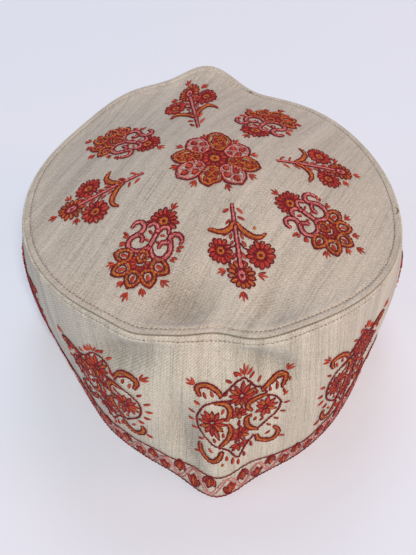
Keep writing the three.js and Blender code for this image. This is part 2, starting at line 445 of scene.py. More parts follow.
def seam_relief(away):
    """The lift of the cloth at a distance from the seam: proud over the allowance, with a
    valley along the topstitching and a soft slope at its outer edge."""
    strip = ALLOWANCE_RISE * (1.0 - step_up((away - ALLOWANCE_WIDTH) / ALLOWANCE_SLOPE + 0.5))
    valley = VALLEY_DEPTH * bell(away - TOPSTITCH_AWAY, VALLEY_WIDTH)
    return (strip - valley) * step_up(away)


def seam_roll(away):
    """How far the cloth turns into the seam: depth * (1 - sqrt(1 - v^2)) with v going from 0 at
    the roll's radius to 1 at the seam, a quarter of an ellipse."""
    v = np.clip(1.0 - away / ROLL_RADIUS, 0.0, 1.0)
    return ROLL_DEPTH * (1.0 - np.sqrt(1.0 - v * v))


AROUND = 360
CREASE_CROWDING = 0.2
EVEN = 2 * np.pi * np.arange(AROUND) / AROUND
MERIDIANS = np.degrees(EVEN - CREASE_CROWDING * np.sin(2 * EVEN))
print("meridians", AROUND, "closest", np.diff(MERIDIANS).min())

# %% [markdown]
# The two panels were sewn face to face and turned out. At the seam both roll into a thin dark
# groove, along the mitre between their faces, and their edges meet at its foot. From there each
# wall follows its thickness back inside. Every ring keeps its distance on the flat cloth.

# %% The crown panel and the band
NEAR = 1e-3


def ring_on(face, share, lift):
    """A ring of a face at one share, moved off it along the normal by lift."""
    shares = np.full(AROUND, share)
    low, high = np.clip(shares - NEAR, 0, 1), np.clip(shares + NEAR, 0, 1)
    down = face(MERIDIANS, high) - face(MERIDIANS, low)
    across = face(MERIDIANS + 0.5, shares) - face(MERIDIANS - 0.5, shares)
    normal = np.cross(down, across)
    normal /= np.linalg.norm(normal, axis=-1, keepdims=True)
    return face(MERIDIANS, shares) + normal * lift, normal


# The depth at which the painted shade in a hollow is full
FULL_SHADE_DEPTH = 5.0


def hollow_shade_mask(hollows, shares):
    """For every point of the rings, how far the cloth is pressed in, as the strength of the painted shade
    there: (depth / full shade depth)^1.5.
    """
    azimuths, rows = np.meshgrid(MERIDIANS, shares)
    return np.clip(hollow_depth(hollows, azimuths, rows) / FULL_SHADE_DEPTH, 0.0, 1.0).ravel() ** 1.5


INWARDS = -(ring_on(crown_face, 1.0, 0.0)[1] + ring_on(band_face, 0.0, 0.0)[1])
INWARDS /= np.linalg.norm(INWARDS, axis=-1, keepdims=True)
SEAM_RINGS = np.concatenate([ROLL_RADIUS * np.linspace(0.0, 1.0, 8) ** 2, np.linspace(1.1, 9.0, 32)])
PLAIN_FROM = 9.8
MIDDLE_HOLE = 1.2


def outer_ring(face, share, away):
    """A ring of a panel's outer face, with the seam's relief and roll."""
    return ring_on(face, share, seam_relief(away))[0] + INWARDS * seam_roll(away)


def crown_panel():
    """Rings from the middle to the seam and back underneath, closed by a fan at each end."""
    plain = np.linspace(MIDDLE_HOLE, PANEL_RADIUS - PLAIN_FROM, 66)
    outer = np.concatenate([plain, PANEL_RADIUS - SEAM_RINGS[::-1]])
    inner = np.linspace(PANEL_RADIUS - WALL, MIDDLE_HOLE, 30)
    rings = [outer_ring(crown_face, distance / PANEL_RADIUS, PANEL_RADIUS - distance) for distance in outer]
    rings += [ring_on(crown_face, distance / PANEL_RADIUS, -WALL)[0] for distance in inner]
    middle = crown_face(np.zeros(2), np.zeros(2)) - [[0, 0, 0], [0, 0, WALL]]
    distances = np.concatenate([outer, inner])
    cut = [outwards(MERIDIANS)[:, :2] * distance for distance in distances]
    cut = np.concatenate(cut + [np.zeros((2, 2))])
    # The hollow attribute carries the painted shade of the crown's dips
    hollow = np.concatenate([hollow_shade_mask(CROWN_HOLLOWS, distances / PANEL_RADIUS), np.zeros(2)])
    faces = loft_faces(len(rings), AROUND, False).tolist()
    top = len(rings) * AROUND
    under, last = top + 1, top - AROUND
    faces += [(top, j, (j + 1) % AROUND) for j in range(AROUND)]
    faces += [(last + j, under, last + (j + 1) % AROUND) for j in range(AROUND)]
    corners = np.concatenate([cut[list(face)] for face in faces])
    points = np.concatenate(rings + [middle])
    return add_object("crown_cloth", points, faces, crown_cloth, corners, hollow=hollow)


def band_panel():
    """Rings from the seam down the outer face, under the rim and up inside to the seam."""
    outer = np.concatenate([SEAM_RINGS, np.linspace(PLAIN_FROM, BAND_HEIGHT, 76)])
    inner = np.linspace(BAND_HEIGHT - 2.0, WALL, 34)
    rim, normal = ring_on(band_face, 1.0, 0.0)
    level = normal * [1, 1, 0]
    level /= np.linalg.norm(level, axis=-1, keepdims=True)
    rings = [outer_ring(band_face, away / BAND_HEIGHT, away) for away in outer] + [rim - level * WALL]
    rings += [ring_on(band_face, away / BAND_HEIGHT, -WALL)[0] for away in inner]
    aways = np.concatenate([outer, [BAND_HEIGHT], inner])
    quads = loft_faces(len(rings), AROUND, True)
    along = np.radians(MERIDIANS) * PANEL_RADIUS
    rows, cols = quads // AROUND, quads % AROUND
    wrapped = (cols[:, 2:3] == 0) & (cols == 0)
    u = along[cols] + np.where(wrapped, 2 * np.pi * PANEL_RADIUS, 0.0)
    v = (BAND_HEIGHT - aways)[rows]
    corners = np.stack([u, v], axis=-1).reshape(-1, 2)
    # The hollow attribute carries the painted shade of the band's hollows
    hollow = hollow_shade_mask(BAND_HOLLOWS, aways / BAND_HEIGHT)
    return add_object("band_cloth", np.concatenate(rings), quads.tolist(), band_cloth, corners, hollow=hollow)


crown = crown_panel()
band = band_panel()
for piece, node, slot in ((crown, "crown_top", "crown_cloth"), (band, "side_band", "band_cloth")):
    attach(piece, "root")
    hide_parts(node)
print("cloth faces", len(crown.data.polygons), len(band.data.polygons))

# %% [markdown]
# The needlework is sozni: fine stitches in red, orange and pink, with every form drawn round
# in a dark maroon stem stitch. Each stitch is made here as a short flattened thread that dives
# into the cloth at both ends. It could be painted on as a picture, but then it would have no
# height and no thread lines. A stitch is a row of a table: start, bend and end on the flat
# cloth, the thread's width and its lift over the cloth. Every form below only adds rows.

# %% Rows of stitches
THREADS = ("red", "maroon", "orange", "pink")
FILL_WIDTH = 0.66
OUTLINE_WIDTH = 0.85
STEM_STITCH = 1.5
FILL_LIFT = 0.10
OUTLINE_LIFT = 0.30
CURVE_SAMPLES = 10
ROW_GAP = 0.68
ROW_WIDTH = 0.60
ROW_STITCH = 2.2
ROW_LIFT = 0.36
ROW_SHARE = 0.54
random = np.random.default_rng(7)


def new_work():
    """An empty piece of needlework: a list of stitch tables for each thread."""
    return {thread: [] for thread in THREADS}


def span(root, tip, width=1.0):
    """Root and tip as points, the run between them, and the run's left side as long as width."""
    root, tip = np.asarray(root, float), np.asarray(tip, float)
    run = tip - root
    return root, tip, run, np.array([-run[1], run[0]]) / np.linalg.norm(run) * width


def put(work, thread, start, bend, end, width, lift):
    """Adds stitches, one row each: start x y, bend x y, end x y, width, lift."""
    start, bend, end = (np.atleast_2d(part).astype(float) for part in (start, bend, end))
    extra = np.broadcast_to([width, lift], (len(start), 2))
    work[thread].append(np.concatenate([start, bend, end, extra], axis=1))


def smooth(points):
    """A Catmull-Rom curve through the points: each stretch is the cubic whose end
    tangents are half the span between the neighbours."""
    p = np.asarray(points, float)
    if len(p) == 2:
        return np.linspace(*p, CURVE_SAMPLES)
    ends = np.concatenate([[2 * p[0] - p[1]], p, [2 * p[-1] - p[-2]]])
    a, b, c, d = ends[:-3, None], ends[1:-2, None], ends[2:-1, None], ends[3:, None]
    t = np.linspace(0, 1, CURVE_SAMPLES, endpoint=False)[None, :, None]
    curve = 0.5 * (2 * b + (c - a) * t + (2 * a - 5 * b + 4 * c - d) * t**2 + (3 * b - a - 3 * c + d) * t**3)
    return np.concatenate([curve.reshape(-1, 2), p[-1:]])


def evenly(curve, count):
    """count points at equal distances along a curve."""
    arc = np.concatenate([[0.0], np.cumsum(np.linalg.norm(np.diff(curve, axis=0), axis=1))])
    marks = np.linspace(0.0, arc[-1], count)
    return np.stack([np.interp(marks, arc, curve[:, 0]), np.interp(marks, arc, curve[:, 1])], axis=-1)


def length_of(curve):
    """The length of a curve."""
    return np.linalg.norm(np.diff(curve, axis=0), axis=1).sum()


def sideways(curve):
    """The unit normals of a curve, to the left of its run."""
    run = np.gradient(curve, axis=0)
    run /= np.maximum(np.linalg.norm(run, axis=1, keepdims=True), 1e-9)
    return np.stack([-run[:, 1], run[:, 0]], axis=-1)


def outline(work, thread, points, width, stitch=STEM_STITCH, curved=True, lift=OUTLINE_LIFT):
    """Stem stitch: slanting stitches that overlap along the line like a fine cord."""
    curve = smooth(points) if curved else np.asarray(points, float)
    count = max(2, int(round(length_of(curve) / stitch)) + 1)
    dense = evenly(curve, 2 * count - 1)
    side = sideways(dense) * 0.10
    start, bend, end = dense[:-2:2] - side[:-2:2], dense[1:-1:2], dense[2::2] + side[2::2]
    reach = (end - start) * 0.12
    put(work, thread, start - reach, bend, end + reach, width, lift)


def satin(work, thread, left, right, lift=FILL_LIFT):
    """Satin stitch: threads side by side from one rail to the other."""
    left, right = smooth(left), smooth(right)
    longest = max(length_of(left), length_of(right))
    count = max(2, int(round(longest / (FILL_WIDTH * 0.86))))
    near, far = evenly(left, count), evenly(right, count)
    put(work, thread, near, (near + far) / 2, far, FILL_WIDTH, lift)


def ribbon(work, points, widths, fill, thread_edge=OUTLINE_WIDTH):
    """Rows of stitches side by side along a path, drawn round in stem stitch. widths are its
    full widths at even distances along the path."""
    curve = smooth(points)
    line = evenly(curve, max(4, int(length_of(curve) / 0.5)))
    half = np.interp(np.linspace(0, 1, len(line)), np.linspace(0, 1, len(widths)), widths) / 2
    side = sideways(line) * half[:, None]
    rows = max(1, int(round(max(widths) / ROW_GAP)))
    for share in (2 * np.arange(rows) + 1) / rows - 1:
        row = line + side * share * ROW_SHARE
        outline(work, fill, row, ROW_WIDTH, ROW_STITCH, curved=False, lift=ROW_LIFT)
    ahead = (line[-1] - line[-2]) / np.linalg.norm(line[-1] - line[-2])
    rim = np.concatenate([line + side, [line[-1] + ahead * half[-1] * 0.8], (line - side)[::-1]])
    outline(work, "maroon", rim, thread_edge, curved=False)


print("stitch kinds ready for", THREADS)

# %% [markdown]
# Most flowers and leaves are made of petals, and a petal is two long stitches side by side that
# are drawn round. A daisy sets petals round a ring of satin stitch. A dart is a small leaf of one
# bright and one dark stitch, and three darts from one root make a trident.

# %% Petals, darts and daisies
LEAF = ((0.30, 0.85), (0.66, 1.0))
ROUND = ((0.28, 0.60), (0.66, 1.0), (0.90, 0.70))


def petal(work, root, tip, width, fill, edge="maroon", edge_width=0.8, shape=LEAF):
    """Two long stitches from root to tip, bowed apart in the middle, drawn round on both sides."""
    root, tip, run, side = span(root, tip, width)
    spread = np.array([[-1], [1]]) * side
    start = root + run * 0.04 + spread * 0.05
    end = tip - run * 0.03 + spread * (0.05 if shape is LEAF else 0.18)
    put(work, fill, start, root + run * 0.54 + spread * 0.25, end, width / 2 * 1.02, FILL_LIFT)
    if edge:
        for hand in (-0.5, 0.5):
            sides = [root + run * along + side * hand * across for along, across in shape]
            outline(work, edge, [root, *sides, tip], edge_width)


def dart(work, root, tip, width):
    """A small leaf, pointed at both ends: a bright stitch with a thinner dark one beside it."""
    root, tip, _, side = span(root, tip, width)
    middle = (root + tip) / 2
    put(work, "red", root, middle + side * 0.12, tip, width * 0.76, FILL_LIFT)
    put(work, "maroon", root, middle - side * 0.28, tip, width * 0.38, FILL_LIFT)


def darts(work, rows, width):
    """A dart for each row: root x, root y, tip x, tip y."""
    for x, y, tip_x, tip_y in rows:
        dart(work, (x, y), (tip_x, tip_y), width)


def polar(angle, distance):
    """A point at an angle in degrees, 0 along the motif's length and growing to its right."""
    return np.array([math.sin(math.radians(angle)), math.cos(math.radians(angle))]) * distance


def trident(work, root, angle, size):
    """Three slim leaves from one root: a long one between two shorter ones."""
    root = np.asarray(root, float)
    for turned, near, far in ((-27, 0.08, 0.82), (0, 0.0, 1.0), (27, 0.08, 0.82)):
        way = polar(angle + turned, size)
        dart(work, root + way * near, root + way * far, 1.1)


def tridents(work, rows):
    """A trident for each row: root x, root y, angle, size."""
    for x, y, angle, size in rows:
        trident(work, (x, y), angle, size)


def ring_points(centre, radius, squash, count=12):
    """Points round a circle, the last one on the first. squash flattens it lengthwise."""
    angles = np.radians(np.linspace(0, 360, count + 1))
    return np.asarray(centre, float) + np.stack([np.sin(angles), np.cos(angles) * squash], axis=-1) * radius


def daisy(work, centre, reach, petals, start, sweep=360.0, heart="orange", fill="red", squash=1.0,
          ring=0.34, stretch=1.0):
    """Petals round a ring of satin with a dark eye. ring is the ring's share of the reach and
    stretch its length over its width. A sweep under 360 makes it a half flower."""
    centre = np.asarray(centre, float)
    steps = petals if sweep >= 360 else petals - 1
    width = 2 * np.pi * reach * 0.74 * (sweep / 360) / petals * 0.84
    for index in range(petals):
        angle = start + sweep * index / steps
        out = polar(angle, reach * random.uniform(0.90, 1.06)) * [1, squash]
        root = polar(angle, reach * ring) * [1, squash * stretch]
        petal(work, centre + root, centre + out, width, fill, edge_width=0.70, shape=ROUND)
    rim = ring_points(centre, reach * ring, squash * stretch)
    satin(work, heart, rim, ring_points(centre, reach * 0.10, squash * stretch))
    outline(work, "maroon", rim, 0.55, 1.0)
    satin(work, "maroon", ring_points(centre, reach * 0.14, squash, 6), ring_points(centre, 0.1, squash, 6))


trial = new_work()
petal(trial, (0.0, 0.0), (0.0, 6.0), 2.0, "red")
print("stitches in a petal", {thread: sum(map(len, rows)) for thread, rows in trial.items()})

# %% [markdown]
# Four sprigs stand on the crown at its front, back and sides. A sprig is a pink stem with two
# orange horn-shaped leaves, a red daisy on either side on a thin stalk, and on top a daisy with
# orange petals round a pink ring. Small darts fill the gaps. The chart's foot is at (0, 0), its
# top flower at (0, 34), and it is laid between two points of the disc. The one at the back was
# worked narrower and a little askew.

# %% The sprig
SPRIG_LENGTH = 34.0


def sprig():
    """The stitches of one sprig on its own flat chart."""
    work = new_work()
    ribbon(work, [(-12.2, 13.0), (-8.2, 15.6), (-4.6, 15.0), (-2.0, 12.6), (-0.6, 9.6)],
           (0.6, 1.8, 2.4, 2.2, 1.4), "orange")
    ribbon(work, [(13.2, 15.2), (10.4, 17.1), (7.2, 16.6), (3.4, 13.8), (0.6, 9.6)],
           (0.5, 1.8, 2.4, 2.2, 1.2), "orange")
    outline(work, "maroon", [(-0.9, 21.0), (-3.0, 22.2), (-5.4, 24.2)], 0.9)
    outline(work, "maroon", [(1.0, 19.6), (3.4, 22.4), (6.6, 24.4)], 0.9)
    daisy(work, (-8.0, 24.6), 5.8, 13, 10, squash=1.08)
    daisy(work, (9.3, 25.2), 6.5, 13, 25, squash=0.98)
    ribbon(work, [(0.2, 0.0), (0.0, 14.0), (0.0, 31.0)], (1.1, 1.6, 1.8), "pink", thread_edge=0.8)
    daisy(work, (0.0, 34.4), 6.3, 13, -156, 312, heart="pink", fill="orange", ring=0.28, stretch=1.5)
    darts(work, (
        (-1.2, 2.8, -4.2, 5.4), (2.0, 2.0, 4.2, 5.2), (1.6, 6.6, 4.8, 8.4), (-1.4, 8.2, -4.0, 11.2),
        (-1.6, 15.0, -3.0, 18.2), (1.8, 14.6, 2.8, 17.8), (-1.6, 18.6, -3.2, 21.2), (2.2, 18.2, 3.6, 21.0),
        (-1.5, 24.0, -2.6, 27.6), (1.5, 23.4, 2.6, 27.0), (-1.6, 27.6, -3.0, 30.4), (1.6, 27.4, 3.0, 30.0),
        (-4.2, 15.4, -5.8, 17.4)), 1.4)
    tridents(work, ((-6.6, 33.4, -70, 4.6), (6.8, 33.4, 74, 4.6), (-0.4, 41.2, -2, 4.8)))
    return work


# A row's columns, for sprigs and bouquets: foot, head, breadth, skew
SPRIGS = {
    "front": ((8.1, -25.9), (13.4, -59.5), 1.0, 0.0),
    "left": ((-31.3, -5.0), (-63.4, -17.7), 0.94, 0.0),
    "right": ((29.1, 4.7), (61.4, 11.5), 1.0, 0.0),
    "back": ((-6.8, 26.4), (-12.0, 66.0), 0.82, 22.0),
}
print("sprigs", list(SPRIGS))

# %% [markdown]
# Between the sprigs stand four bouquets: a half daisy at the inner end, two pink scrolls that
# branch from one stem, and five orange drops that fan out round a sixth small one and nine red
# leaves. The foot of the chart is the eye of the half daisy, its head the tip of the middle drop.

# %% The bouquet
BOUQUET_LENGTH = 33.5
ROOTED = (1.0, 1.8, 1.8, 1.8, 1.8)
CURLED = (1.0, 2.0, 2.1, 2.1, 2.1, 1.6)
FAN = np.array([0.0, 20.6])
DROP_SIDE = ((0.0, 0.0), (0.36, 0.10), (0.50, 0.42), (0.33, 0.78), (0.0, 1.0))


def drop_sides(root, tip, width, scale, side_shape=DROP_SIDE):
    """The right and left side of a drop from root to tip, scaled about its middle."""
    root, _, run, side = span(root, tip, width)
    middle = root + run * 0.47
    sides = []
    for hand in (-1, 1):
        line = np.array([root + side * across * hand + run * along for across, along in side_shape])
        sides.append(middle + (line - middle) * scale)
    return sides


def drop(work, root, tip, width):
    """A drop: a dark outline, an orange row inside it, a dark line and a red kernel."""
    for scale, thread, thick in ((1.0, "maroon", 0.95), (0.78, "orange", 1.2), (0.52, "maroon", 0.85)):
        for line in drop_sides(root, tip, width, scale):
            outline(work, thread, line, thick)
    root, _, run, _ = span(root, tip)
    petal(work, root + run * 0.28, root + run * 0.66, width * 0.26, "red", None)


def bouquet():
    """The stitches of one bouquet on its own flat chart."""
    work = new_work()
    daisy(work, (0.0, 0.0), 6.7, 10, 84, 208)
    for points, widths in (
        ([(-4.9, 4.8), (-4.2, 3.0), (-2.4, 2.4), (-0.7, 3.6), (0.1, 6.0)], ROOTED),
        ([(5.2, 4.6), (4.3, 2.6), (2.8, 2.0), (1.2, 3.2), (0.3, 6.0)], ROOTED),
        ([(0.2, 4.2), (0.2, 9.0), (0.4, 15.0)], (1.9, 1.9, 2.0)),
        ([(-11.3, 7.2), (-11.0, 4.8), (-9.2, 3.4), (-7.0, 4.3), (-6.2, 6.5), (-6.9, 9.0), (-8.9, 11.5),
          (-9.3, 14.0), (-7.8, 16.4), (-5.0, 17.1), (-2.0, 15.8), (-0.2, 13.2)], CURLED),
        ([(-3.9, 12.4), (-4.6, 10.2), (-6.6, 9.4)], (0.9, 1.7, 1.7)),
        ([(12.3, 7.0), (11.6, 4.6), (9.5, 3.2), (7.3, 3.9), (6.6, 5.8), (7.8, 7.8), (9.2, 10.0),
          (9.4, 12.6), (8.5, 15.0), (6.0, 16.4), (3.2, 15.9), (1.0, 13.4)], CURLED),
        ([(4.6, 12.0), (4.2, 10.4), (5.0, 8.8), (7.2, 7.6)], (0.9, 1.7, 1.7, 1.7)),
    ):
        ribbon(work, points, widths, "pink", thread_edge=0.9)
    for x, y, tip_x, tip_y, width in (
        (-4.0, 19.8, -12.9, 20.6, 7.0), (4.2, 18.4, 13.6, 19.8, 7.4), (-3.4, 23.0, -9.0, 30.2, 7.4),
        (3.8, 21.8, 9.4, 28.6, 7.4), (0.4, 24.2, 0.9, 33.2, 7.4), (-0.2, 14.9, -0.2, 21.6, 5.0),
    ):
        drop(work, (x, y), (tip_x, tip_y), width)
    for angle in range(-104, 105, 26):
        root, tip = FAN + polar(angle, 1.9), FAN + polar(angle, random.uniform(4.6, 5.6))
        petal(work, root, tip, 1.5, "red", edge_width=0.45)
    darts(work, (
        (-1.6, 7.4, -3.9, 6.0), (1.8, 6.6, 4.2, 5.8), (-1.4, 10.8, -3.4, 10.2), (1.6, 9.8, 3.6, 9.8),
        (-10.9, 10.9, -14.2, 10.0), (-10.4, 14.2, -13.0, 15.6), (11.2, 8.8, 14.0, 7.2),
        (11.2, 13.4, 14.0, 13.2), (-10.8, 11.9, -13.4, 12.0), (11.6, 9.9, 13.6, 9.4),
        (-10.6, 15.0, -12.4, 16.8), (11.0, 14.4, 13.4, 14.8)), 1.5)
    tridents(work, (
        (-9.9, 24.6, -52, 4.4), (11.6, 23.6, 74, 4.4), (-2.4, 30.8, -24, 3.8), (6.0, 30.0, 40, 4.0),
        (1.5, 34.2, 2, 4.8), (0.5, -6.2, 176, 4.4)))
    return work


BOUQUETS = {
    "front_left": ((-21.1, -34.0), (-36.1, -64.0), 1.0, 0.0),
    "front_right": ((33.4, -20.3), (61.3, -36.2), 1.04, 0.0),
    "back_left": ((-31.6, 17.5), (-60.9, 35.5), 1.0, 0.0),
    "back_right": ((19.6, 29.0), (35.2, 60.4), 1.0, 0.0),
}
print("bouquets", list(BOUQUETS))

# %% [markdown]
# In the middle of the crown lies a medallion: a small rosette inside eight large petals. Four
# orange ones, filled with satin stitch, point to the front, back and sides. Four pink ones
# between them are open, with a lattice and a red seed in each of its four cells.

# %% The medallion
MEDALLION_TURN = -8.0
MEDALLION_PLACE = (0.5, 0.2)
GROUND_LIFT = -0.06
KITE_SIDE = ((0.0, 0.0), (0.27, 0.08), (0.50, 0.55), (0.36, 0.83), (0.0, 1.0))


def latticed(work, root, tip, width, thread, ground, seeds, bars, bar_width):
    """A large petal: an outline with a bright row inside it, seeds (along, across, length, breadth)
    and bars (from, to) that cross between them, in shares of the petal's length and width. A
    ground fills it with satin."""
    root, tip, run, side = span(root, tip, width)
    if ground:
        satin(work, thread, *drop_sides(root, tip, width, 0.80, KITE_SIDE), lift=GROUND_LIFT)
    for scale, colour, thick in ((1.0, "maroon", 1.0), (0.84, thread, 1.05)):
        for line in drop_sides(root, tip, width, scale, KITE_SIDE):
            outline(work, colour, line, thick)
    for along, across, length, breadth in seeds:
        seed = root + run * along + side * across
        half = run * length / 2
        petal(work, seed - half, seed + half, width * breadth, "red", edge_width=0.62)
    for (along, across), (end, off) in bars:
        line = [root + run * along + side * across, root + run * end + side * off]
        outline(work, thread, line, bar_width, 1.6, curved=False)


ORANGE_PETAL = {
    "thread": "orange", "ground": True, "bar_width": 0.8,
    "seeds": (
        (0.20, 0.0, 0.20, 0.18), (0.40, -0.20, 0.22, 0.19), (0.40, 0.20, 0.22, 0.19), (0.48, 0.0, 0.22, 0.18),
        (0.66, -0.19, 0.22, 0.18), (0.66, 0.19, 0.22, 0.18), (0.80, 0.0, 0.18, 0.17)),
    "bars": (
        ((0.24, -0.20), (0.56, 0.12)), ((0.24, 0.20), (0.56, -0.12)),
        ((0.52, -0.28), (0.80, 0.05)), ((0.52, 0.28), (0.80, -0.05))),
}
PINK_PETAL = {
    "thread": "pink", "ground": False, "bar_width": 0.85,
    "seeds": (
        (0.19, 0.0, 0.22, 0.20), (0.45, -0.22, 0.24, 0.21), (0.45, 0.22, 0.24, 0.21),
        (0.71, 0.0, 0.24, 0.23)),
    "bars": (((0.18, -0.26), (0.72, 0.24)), ((0.18, 0.26), (0.72, -0.24))),
}


def medallion():
    """The stitches of the medallion about its middle, lengthwise towards the cap's front."""
    work = new_work()
    for kind, angle, start, reach, width in (
        (ORANGE_PETAL, 0, 5.0, 17.8, 10.4), (ORANGE_PETAL, 90, 5.0, 21.0, 9.6),
        (ORANGE_PETAL, 180, 5.0, 20.4, 10.6), (ORANGE_PETAL, 270, 5.0, 20.0, 9.6),
        (PINK_PETAL, 48, 5.2, 19.4, 11.0), (PINK_PETAL, 131, 5.2, 18.6, 11.0),
        (PINK_PETAL, 227, 5.2, 18.4, 11.0), (PINK_PETAL, 312, 5.2, 20.0, 11.0),
    ):
        latticed(work, polar(angle, start), polar(angle, reach), width, **kind)
    daisy(work, (0.0, 0.0), 6.4, 13, 0, ring=0.38)
    for across, outer in (
        (-16.4, 6.6), (-17.0, -7.6), (-6.4, -15.2), (7.0, -15.4),
        (16.4, -7.8), (17.0, 6.4), (8.2, 15.6), (-6.6, 15.8),
    ):
        aim = math.degrees(math.atan2(across, outer))
        trident(work, (across, outer) - polar(aim, 1.4), aim, 4.6)
    return work


print("medallion at", MEDALLION_PLACE, "turned by", MEDALLION_TURN)

# %% [markdown]
# Round the band stand eight open motifs. The one at the viewer's left of the front is mirrored.
# It and the one at the right lean and are wider, as hand-placed patterns are. Thin maroon lines
# make a frame, two loops hold a flower each, orange C-scrolls hug the loops and four orange
# horns curl from the corners. Pointed flowers stand at the top, in the middle and at the foot,
# and short darts ray out all round. The chart is in millimetres up from the motif's middle.

# %% The band motif
# Columns: azimuth, height, breadth, tall, tilt, hand (-1 is mirrored)
BAND_MOTIFS = [(9.3, 48.0, 1.0, 1.0, 0.0, 1), (48.2, 41.5, 1.2, 1.0, -9.0, 1)]
BAND_MOTIFS += [(94.5 + 46.5 * index, 43.0, 1.0, 1.0, 0.0, (-1, 1)[index % 2]) for index in range(5)]
BAND_MOTIFS += [(327.4, 41.7, 1.26, 0.9, 10.5, -1)]
SCROLL_SHARE = 0.94


def star(work, centre, tips, width):
    """Pointed petals from one centre out to each of the tips, every fourth one orange."""
    for index, tip in enumerate(tips):
        centre, tip, run, _ = span(centre, tip)
        root = centre + run * random.uniform(0.06, 0.16)
        petal(work, root, tip, width * 0.9, "orange" if index % 4 == 2 else "red", edge_width=0.55)


def band_frame(work):
    """The motif's thin lines, orange horns and orange scrolls."""
    for line in (
        [(-10.0, 13.0), (-5.5, 18.0), (-2.5, 21.0), (0.3, 22.3), (2.5, 20.5), (5.0, 17.5), (8.0, 16.0),
         (10.0, 13.0)],
        [(-10.0, -13.5), (-6.5, -15.5), (-4.5, -19.0), (-2.0, -22.5), (0.0, -18.0), (2.5, -14.0),
         (4.5, -11.5)],
        [(-4.5, 12.0), (-10.5, 11.5), (-15.5, 9.5), (-18.0, 5.0), (-18.5, 0.0), (-17.0, -6.0),
         (-13.5, -10.5), (-10.5, -13.5)],
        [(9.5, 12.0), (13.5, 10.0), (15.5, 6.5), (15.5, 3.5), (14.0, 0.0), (11.5, -2.5), (7.5, -6.5),
         (6.0, -7.5)],
    ):
        outline(work, "maroon", line, 1.1)
    for points, widths in (
        ([(-9.0, 14.0), (-11.0, 17.0), (-14.0, 19.0), (-17.0, 19.5), (-19.2, 18.0), (-18.0, 14.0)],
         (1.2, 2.1, 2.3, 2.3, 1.9, 0.9)),
        ([(7.5, 14.7), (11.5, 16.8), (15.5, 18.3), (18.8, 17.8), (18.2, 15.5), (16.5, 13.5)],
         (1.2, 1.9, 2.2, 2.4, 2.0, 0.9)),
        ([(-16.7, -14.5), (-16.7, -18.0), (-15.0, -21.5), (-12.5, -23.0), (-10.0, -21.0), (-8.7, -16.5)],
         (0.9, 1.9, 2.3, 2.4, 2.0, 1.2)),
        ([(5.5, -12.0), (6.5, -15.5), (9.5, -18.0), (12.5, -19.0), (14.8, -16.5), (15.0, -13.0),
          (13.2, -9.9)], (1.2, 2.0, 2.3, 2.4, 2.1, 1.6, 0.9)),
        ([(-12.0, 10.7), (-7.6, 10.4), (-5.5, 7.0), (-6.0, 3.0), (-7.3, 1.5)], (1.0, 2.0, 2.3, 2.0, 0.9)),
        ([(-6.5, -0.5), (-5.2, -3.0), (-5.3, -6.0), (-6.5, -9.5), (-9.5, -13.2)], (0.9, 2.0, 2.3, 2.1, 1.0)),
        ([(10.0, 12.3), (6.3, 11.5), (2.5, 9.5), (1.8, 7.0), (3.5, 4.5)], (1.0, 2.0, 2.3, 2.0, 0.9)),
        ([(3.5, 2.0), (1.3, 0.5), (1.3, -2.5), (2.5, -5.5), (6.0, -8.5)], (0.9, 2.0, 2.3, 2.1, 1.0)),
    ):
        ribbon(work, points, np.array(widths) * SCROLL_SHARE, "orange", thread_edge=0.95)


